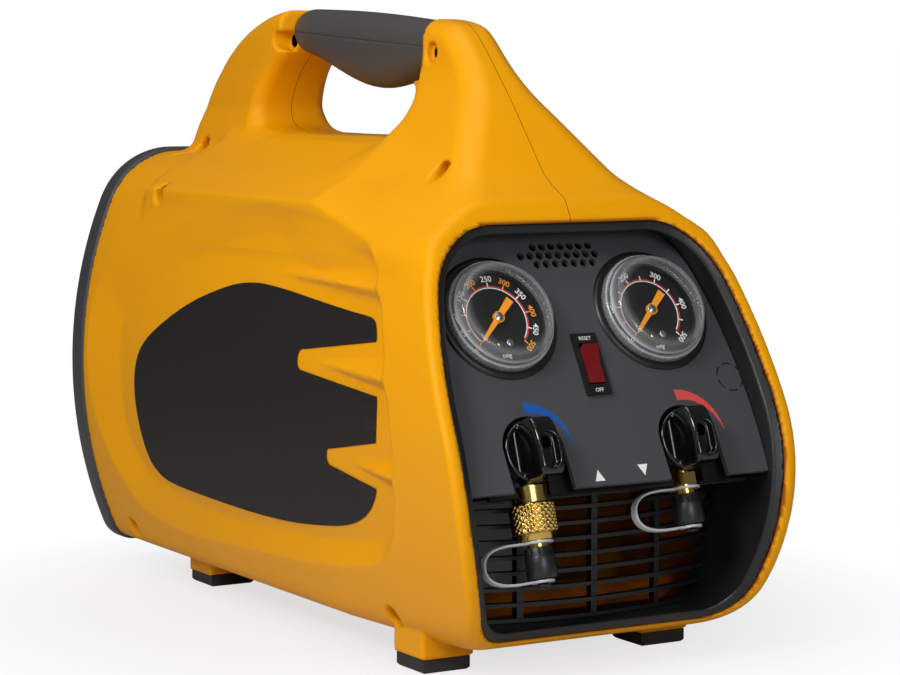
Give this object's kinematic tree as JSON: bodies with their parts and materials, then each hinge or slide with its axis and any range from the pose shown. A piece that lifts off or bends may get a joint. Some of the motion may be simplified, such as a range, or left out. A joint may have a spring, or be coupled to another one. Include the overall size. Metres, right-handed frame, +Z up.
{
  "type": "refrigerant recovery machine",
  "caption": "Portable case in a clamshell moulding with a carrying arch and rubber grip; slanted front with pressure gauges, a rocker switch, valve knobs and capped flare ports over a grille.",
  "frame": {"origin": "centre of the footprint, on the floor under the feet", "axes": "+X across the case, +Y from the instrument front to the rear, +Z up"},
  "size_m": [0.2416, 0.524, 0.386],
  "materials": {
    "case_yellow": "fine moulded texture",
    "grip_rubber": "matt",
    "trim_dark": "satin",
    "panel_charcoal": "fine texture",
    "label_dark": "printed film",
    "gauge_black": "satin",
    "dial_black": "printed",
    "lens_clear": "clear",
    "pointer_orange": "satin",
    "rocker_red": "gloss",
    "steel": "plated",
    "brass": "machined",
    "knob_black": "gloss",
    "cap_black": "satin",
    "strap_clear": "clear, flexible",
    "foot_rubber": "matt",
    "cast_alloy": "as cast",
    "motor_paint": "satin",
    "copper": "drawn"
  },
  "bodies": {
    "housing": {"left_shell": "case_yellow", "right_shell": "case_yellow", "grip_upper": "grip_rubber", "grip_lower": "grip_rubber", "rear_bezel": "trim_dark", "rear_panel": "trim_dark", "front_bezel": "trim_dark", "instrument_panel": "panel_charcoal", "front_grille": "trim_dark", "side_label": "label_dark", "inlet_gauge_case": "gauge_black", "outlet_gauge_case": "gauge_black", "inlet_dial": "dial_black", "outlet_dial": "dial_black", "inlet_lens": "lens_clear", "outlet_lens": "lens_clear", "switch_body": "gauge_black", "valve_bracket": "steel", "inlet_valve": "brass", "outlet_valve": "brass", "inlet_coupling": "brass", "inlet_strap": "strap_clear", "outlet_strap": "strap_clear", "feet": "foot_rubber", "case_screws": "steel", "chassis_plate": "steel", "isolators": "foot_rubber", "motor_cradle": "cast_alloy", "motor_housing": "motor_paint", "crankcase": "cast_alloy", "cylinder_head": "cast_alloy", "fan_shroud": "trim_dark", "condenser_fins": "cast_alloy", "condenser_tubes": "copper", "capacitor": "cast_alloy", "pressure_switch": "brass", "refrigerant_lines": "copper", "power_inlet": "gauge_black"},
    "inlet_knob": {"inlet_knob": "knob_black"},
    "outlet_knob": {"outlet_knob": "knob_black"},
    "rocker": {"switch_rocker": "rocker_red"},
    "inlet_needle": {"inlet_pointer": "pointer_orange"},
    "outlet_needle": {"outlet_pointer": "pointer_orange"},
    "rotor": {"motor_shaft": "steel", "fan_rotor": "trim_dark"},
    "inlet_cap": {"inlet_cap": "cap_black"},
    "outlet_cap": {"outlet_cap": "cap_black"}
  },
  "joints": [
    {"name": "inlet_knob_turn", "type": "hinge", "parent": "housing", "child": "inlet_knob", "pos_m": [-0.0525, -0.228, 0.1293], "axis": [0, 0.9511, -0.309], "range_deg": [0, 90]},
    {"name": "outlet_knob_turn", "type": "hinge", "parent": "housing", "child": "outlet_knob", "pos_m": [0.0525, -0.228, 0.1293], "axis": [0, 0.9511, -0.309], "range_deg": [0, 90]},
    {"name": "rocker_press", "type": "hinge", "parent": "housing", "child": "rocker", "pos_m": [0, -0.21666, 0.17609], "axis": [-1, 0, 0], "range_deg": [0, 18]},
    {"name": "inlet_needle_swing", "type": "hinge", "parent": "housing", "child": "inlet_needle", "pos_m": [-0.0525, -0.201, 0.204], "axis": [0, 0.8721, -0.4894], "range_deg": [0, 270]},
    {"name": "outlet_needle_swing", "type": "hinge", "parent": "housing", "child": "outlet_needle", "pos_m": [0.0525, -0.201, 0.204], "axis": [0, 0.8721, -0.4894], "range_deg": [0, 270]},
    {"name": "fan_spin", "type": "hinge", "parent": "housing", "child": "rotor", "pos_m": [0, 0.136, 0.112], "axis": [0, 1, 0], "continuous": true},
    {"name": "inlet_cap_pull", "type": "slide", "parent": "housing", "child": "inlet_cap", "axis": [0, -0.309, -0.9511], "range_m": [0, 0.022], "deforming": ["inlet_strap"]},
    {"name": "outlet_cap_pull", "type": "slide", "parent": "housing", "child": "outlet_cap", "axis": [0, -0.309, -0.9511], "range_m": [0, 0.022], "deforming": ["outlet_strap"]}
  ]
}
